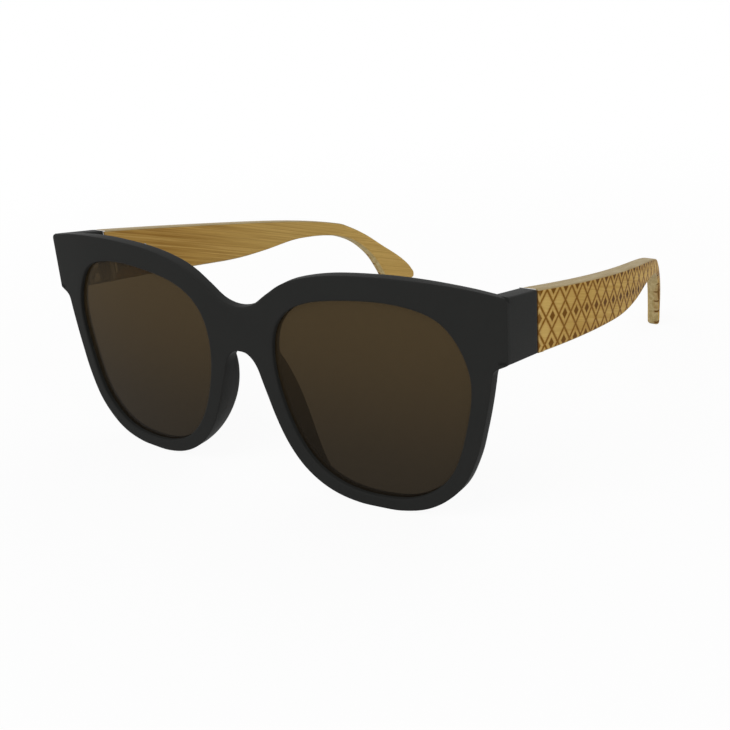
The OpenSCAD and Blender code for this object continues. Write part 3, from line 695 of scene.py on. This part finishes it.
def placed_skin(u, z, w, from_edge, soft, wrap):
    """Skin of bamboo from each point's place behind the seam, height and place in the thickness, laid between the
    inner and outer faces, which are bowed on circles. Also gives the marks of each point: its place along and below
    the top edge and across the thickness, the face that it is on (1 outer, -1 inner, 0 edges), whether it takes the
    burnt lattice, which goes on over an edge by the wrap, and its place behind the seam."""
    out_r = 1 / (1 / BOW_R + 2 * (TEMPLE_T - TIP_T) / ((TEMPLE_LEN - BOW_LEAD) ** 2 - BOW_LEAD ** 2))

    def bowed(x, r):
        return x - math.sqrt(r ** 2 - BOW_LEAD ** 2) + np.sqrt(r ** 2 - (u - BOW_LEAD) ** 2)

    inner, outer = bowed(INNER_X, BOW_R), bowed(HALF_W, out_r)
    x = inner + (outer - inner) * w / TEMPLE_T
    points = np.stack([x, SEAM_Y + u, np.maximum(z, 0.0)], -1)
    a = math.radians(TEMPLE_SLOPE)
    fall = ROOT_TOP - z
    along = u * math.cos(a) + fall * math.sin(a)
    below = fall * math.cos(a) - u * math.sin(a)
    off_middle = w - 0.5 * TEMPLE_T
    face = np.clip(off_middle / (0.5 * TEMPLE_T - ROUND_PART * soft), -1, 1)
    burn = np.where(face > FACE_SHARE - 2 * wrap, ease(from_edge + wrap, *EDGE_FADE), 0.0)
    face = np.where(np.abs(face) > FACE_SHARE, np.sign(face) * ease(from_edge, *EDGE_FADE), 0.0)

    def ends(values):
        return np.concatenate([values.reshape(-1, *values.shape[2:]), values[:1].mean(1), values[-1:].mean(1)])

    grain = np.stack([along, below, off_middle], -1)
    return tube(points), [ends(values) for values in (grain, face, burn, u)]


def temple_skin():
    """Temple: at each station a rounded rectangle stands between the matching points of the top edge and of the
    underside in the side view, and between the bowed inner and outer faces. Towards the tip the rectangle shrinks to
    the end of the outline."""
    def line_z(u):
        return ROOT_TOP - u * RUN

    count = len(TEMPLE_TOP)
    u = np.concatenate([TEMPLE_TOP[:, 0], TEMPLE_BLADE[:, 0]]) * TEMPLE_LEN
    z = np.concatenate([line_z(u[:count]) * (1 - TEMPLE_TOP[:, 1]), line_z(u[count:]) - TEMPLE_BLADE[:, 1] * ROOT_H])
    outline = np.stack([u, z], 1)
    closer = np.sin(np.linspace(0, math.pi / 2, TIP_STEPS + 1)[1:])
    share = np.concatenate([np.linspace(0, EVEN_SHARE, EVEN_STEPS), EVEN_SHARE + (1 - EVEN_SHARE) * closer])
    t = 1 + (len(TEMPLE_ACROSS) - 1) * share
    top, low = curve(outline, t), curve(outline, between(TEMPLE_ACROSS, t))
    first = PLATE_T + ROOT_STEPS * ROOT_ROUND
    kept = top[:, 0] > OTHERS_BEGIN
    top = np.concatenate([np.stack([first, line_z(first)], 1), top[kept]])
    low = np.concatenate([np.stack([first, line_z(first) - ROOT_H], 1), low[kept]])
    t = np.concatenate([np.ones(len(first)), t[kept]])
    soft = EDGE_ROUND + (TIP_ROUND - EDGE_ROUND) * ease(t, *SOFTER)
    high = np.linalg.norm(top - low, axis=1)
    blunt = soft * (1 - np.minimum(high / (BLUNT_BELOW * soft), 1)) ** 2
    inset = np.zeros(len(top))
    inset[:len(first)] = ROOT_STEPS[::-1] * ROOT_ROUND
    radius = np.minimum(soft, ROUND_SHARE * high) - inset
    w, h = rounded_box(inset + blunt, TEMPLE_T - inset - blunt, inset, high - inset, radius, BOX_STEPS)
    high, soft = high[:, None], soft[:, None]
    rise = (h / np.maximum(high, 1e-6))[..., None]
    side = low[:, None, :] * (1 - rise) + top[:, None, :] * rise
    wrap = WRAP_MOST * ease(t, *BURN_WRAPS)[:, None] * (h < 0.5 * high)
    return placed_skin(side[..., 0], side[..., 1], w, np.minimum(h, high - h), soft, wrap)


def root_lip(inside):
    """Thin lip that carries a face of the temple over the edge of the end plate: a rounded rectangle carried along
    the root, a hair proud of the face at the seam and sinking into it behind the plate. The outer lip runs down the
    whole root, the inner one ends above the spring case."""
    u = LIP_STATIONS
    draw = np.zeros_like(u)
    draw[:len(LIP_DRAWN)] = LIP_DRAWN
    proud, sink = INNER_PROUD if inside else OUTER_PROUD
    face_w = TEMPLE_T + proud - sink * ease(u, *LIP_SINKS)
    low = ROOT_H - INNER_LIP_H if inside else LIP_EDGE
    w, h = rounded_box(TEMPLE_T - LIP_T + draw, face_w - draw, low + draw, ROOT_H - LIP_EDGE - draw, LIP_ROUND,
                       BOX_STEPS)
    w = TEMPLE_T - w if inside else w
    u = np.broadcast_to(u[:, None], w.shape)
    return placed_skin(u, ROOT_TOP - u * RUN - ROOT_H + h, w, np.minimum(h, ROOT_H - h), EDGE_ROUND, 0.0)


parts = [temple_skin(), root_lip(inside=False), root_lip(inside=True)]
temple = joined([skin for skin, fields in parts])
marks = [(label, kind, np.concatenate([fields[i] for skin, fields in parts]))
         for i, (label, kind) in enumerate(MARKS)]
piece("bamboo_temple_right", temple, BAMBOO, "arm_right", "temple_right", marks)
piece("bamboo_temple_left", mirrored(temple), BAMBOO, "arm_left", "temple_left", marks)

# The spring cases

CASE_ROUND, FOOT_EDGE, FOOT_ROUND, CASE_STEPS = 0.4, 0.12, 0.8, 25


def stacked(loop, x0, x1, soft):
    """Closed plate between x0 and x1: the loop at each inset (points of y and z) is carried along x, and its edge at
    x0 is drawn in along a quarter circle."""
    steps = [(x0 + soft * (1 - math.cos(k)), soft * (1 - math.sin(k))) for k in QUARTER] + [(x1, 0.0)]
    loops = [(x, loop(inset)) for x, inset in steps]
    return tube(np.stack([np.concatenate([np.full((len(p), 1), x), p], 1) for x, p in loops]))


def spring_case_skin():
    """Spring case on the inner side of the temple: a bar whose far end is a half circle, and the thin foot behind it
    with round corners."""
    end, half_h = WOOD_Y + CASE_LEN, CASE_H / 2
    a = np.radians(np.linspace(-90, 90, CASE_STEPS))

    def bar(inset):
        r = half_h - inset
        round_end = np.stack([end - half_h + r * np.cos(a), HINGE_Z + r * np.sin(a)], 1)
        return np.concatenate([[[WOOD_Y, HINGE_Z - r]], round_end, [[WOOD_Y, HINGE_Z + r]]])

    def foot(inset):
        y, z = rounded_box(end - half_h, end + FOOT_LEN - inset, HINGE_Z - FOOT_H / 2 + inset,
                           HINGE_Z + FOOT_H / 2 - inset, FOOT_ROUND - inset)
        return np.stack([y[0], z[0]], 1)

    outer_x = INNER_X + CASE_SINK
    return joined([stacked(bar, INNER_X - CASE_PROUD, outer_x, CASE_ROUND),
                   stacked(foot, outer_x - FOOT_T, outer_x, FOOT_EDGE)])


case = spring_case_skin()
piece("spring_case_right_bar", case, HINGE_STEEL, "arm_right", "spring_case_right")
piece("spring_case_left_bar", mirrored(case), HINGE_STEEL, "arm_left", "spring_case_left")

# The springs in the cases

SPRING_TURNS, TURN_STEPS, WIRE_SIDES, END_TURN = 9, 32, 8, 0.05


def spring_coil():
    """Coil of a hinge spring: a round wire carried along a helix about the rod, its end turns nearly closed."""
    turn = np.linspace(0, SPRING_TURNS, TURN_STEPS * SPRING_TURNS + 1)
    share = np.interp(turn, [0, 1, SPRING_TURNS - 1, SPRING_TURNS], [0, END_TURN, 1 - END_TURN, 1])
    c, s = np.cos(2 * math.pi * turn), np.sin(2 * math.pi * turn)
    y = WOOD_Y + SPRING_ROOM + 0.5 * WIRE_D + (SPRING_LEN - WIRE_D) * share
    centre = np.stack([INNER_X - BORE_INSET + COIL_R * c, y, HINGE_Z + COIL_R * s], 1)
    ahead = np.gradient(centre, axis=0)
    out = np.stack([c, np.zeros_like(c), s], 1)
    side = np.cross(ahead / np.linalg.norm(ahead, axis=1)[:, None], out)
    q = np.linspace(0, 2 * math.pi, WIRE_SIDES + 1)[None, :-1, None]
    return tube(centre[:, None] + 0.5 * WIRE_D * (np.cos(q) * out[:, None] + np.sin(q) * side[:, None]))


coil = spring_coil()
for side, sign, skin in ("left", -1, mirrored(coil)), ("right", 1, coil):
    obj = piece("hinge_spring_" + side, skin, SPRING_STEEL, "arm_" + side, "spring_" + side)
    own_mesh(obj)

# The other steel pieces keep the shapes of the part

STEEL = {"end_plate": PLATE_STEEL, "slider": HINGE_STEEL, "spring_stop": HINGE_STEEL, "hinge_leaf": HINGE_STEEL,
         "case_screws": SCREW_STEEL, "leaf_screws": SCREW_STEEL, "hinge_screw": SCREW_STEEL}
for kind, metal in STEEL.items():
    for side in ("left", "right"):
        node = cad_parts[kind + "_" + side]
        node.data.materials.clear()
        node.data.materials.append(metal)

# Floor, light and camera

FLOOR_HALF, WORLD_LIGHT = 3.0, 0.5
LAMP_AIM = (0, 0, 0.03)
LAMPS = (("key", (-0.2, -1.0, 1.2), 0.9, 7.5), ("fill", (1.0, -0.2, 0.5), 0.8, 1.2),
         ("back", (0.0, 0.8, 0.7), 0.9, 2.2))


def seen_ray(tree):
    """Output that is 1 for rays by which the camera sees something, straight, mirrored or through a lens, else 0."""
    path = tree.nodes.new("ShaderNodeLightPath")
    seen = path.outputs["Is Camera Ray"]
    for kind in ("Is Glossy Ray", "Is Transmission Ray"):
        either = tree.nodes.new("ShaderNodeMath")
        either.operation = "MAXIMUM"
        tree.links.new(seen, either.inputs[0])
        tree.links.new(path.outputs[kind], either.inputs[1])
        seen = either.outputs[0]
    return seen


def pale_floor():
    """White floor: shows its shadows to the camera at part strength over plain white."""
    n = Nodes("pale_floor")
    n.set(Base_Color=(0.9, 0.9, 0.9, 1.0), Roughness=0.9, Specular_IOR_Level=0.1)
    white = n.tree.nodes.new("ShaderNodeEmission")
    away = n.tree.nodes.new("ShaderNodeVectorMath")
    away.operation = "LENGTH"
    n.put(away.inputs[0], n.place())
    share = n.ramp(away.outputs["Value"], 0.1, 0.4, 0.93, 1.0)
    mix = n.tree.nodes.new("ShaderNodeMixShader")
    n.put(mix.inputs[0], n.math("MULTIPLY", seen_ray(n.tree), share))
    n.put(mix.inputs[1], n.shader.outputs[0])
    n.put(mix.inputs[2], white.outputs[0])
    n.put(n.out.inputs["Surface"], mix.outputs[0])
    return n.material


def floor_plane():
    """Square of floor under the part, as stage."""
    h = FLOOR_HALF
    mesh = bpy.data.meshes.new("floor")
    mesh.from_pydata([(-h, -h, 0), (h, -h, 0), (h, h, 0), (-h, h, 0)], [], [(0, 1, 2, 3)])
    mesh.materials.append(pale_floor())
    obj = bpy.data.objects.new("floor", mesh)
    bpy.context.scene.collection.objects.link(obj)


def soft_lamp(name, place, size, watts):
    """Square area lamp at a place, turned towards the part."""
    lamp = bpy.data.lights.new(name, "AREA")
    lamp.shape, lamp.size, lamp.energy = "SQUARE", size, watts
    obj = bpy.data.objects.new(name, lamp)
    obj.location = place
    obj.rotation_euler = (Vector(LAMP_AIM) - Vector(place)).to_track_quat("-Z", "Y").to_euler()
    bpy.context.scene.collection.objects.link(obj)


def studio():
    """World that is white where the camera sees it and a plain grey light elsewhere, and three soft lamps."""
    world = bpy.data.worlds.new("studio")
    bpy.context.scene.world = world
    world.use_nodes = True
    tree = world.node_tree
    tree.nodes.clear()
    out, mix = tree.nodes.new("ShaderNodeOutputWorld"), tree.nodes.new("ShaderNodeMixShader")
    tree.links.new(seen_ray(tree), mix.inputs[0])
    for socket, strength in (mix.inputs[1], WORLD_LIGHT), (mix.inputs[2], 1.0):
        light = tree.nodes.new("ShaderNodeBackground")
        light.inputs["Color"].default_value, light.inputs["Strength"].default_value = (1, 1, 1, 1), strength
        tree.links.new(light.outputs[0], socket)
    tree.links.new(mix.outputs[0], out.inputs[0])
    for lamp in LAMPS:
        soft_lamp(*lamp)


def camera():
    """Camera fitted to the outlines of the front, the lenses and the temples: turned and raised about a point that it
    aims at (radians and millimetres), rolled, with its focal length and middle in pixels of a square picture."""
    turn, rise, roll, distance = 0.6281, 0.397, -0.0783, 266.6248
    aim = Vector((36.8108, -DEPTH / 2, 37.1781))
    picture, focal, middle_x, middle_y, sensor = 730, 1122.6859, 358.283, 372.1937, 36.0
    back = Vector((math.sin(turn) * math.cos(rise), -math.cos(turn) * math.cos(rise), math.sin(rise)))
    level = Vector((math.cos(turn), math.sin(turn), 0))
    above = back.cross(level)
    right = math.cos(roll) * level + math.sin(roll) * above
    up = math.cos(roll) * above - math.sin(roll) * level
    place = (aim + distance * back) * MM
    lens = bpy.data.cameras.new("camera")
    lens.sensor_width, lens.lens = sensor, sensor * focal / picture
    lens.shift_x, lens.shift_y = (picture / 2 - middle_x) / picture, (middle_y - picture / 2) / picture
    lens.clip_start = 5 * MM
    obj = bpy.data.objects.new("camera", lens)
    obj.matrix_world = Matrix((
        (right.x, up.x, back.x, place.x), (right.y, up.y, back.y, place.y), (right.z, up.z, back.z, place.z),
        (0, 0, 0, 1)))
    bpy.context.scene.collection.objects.link(obj)
    bpy.context.scene.camera = obj


floor_plane()
studio()
camera()
bpy.context.scene.view_settings.view_transform = "Standard"
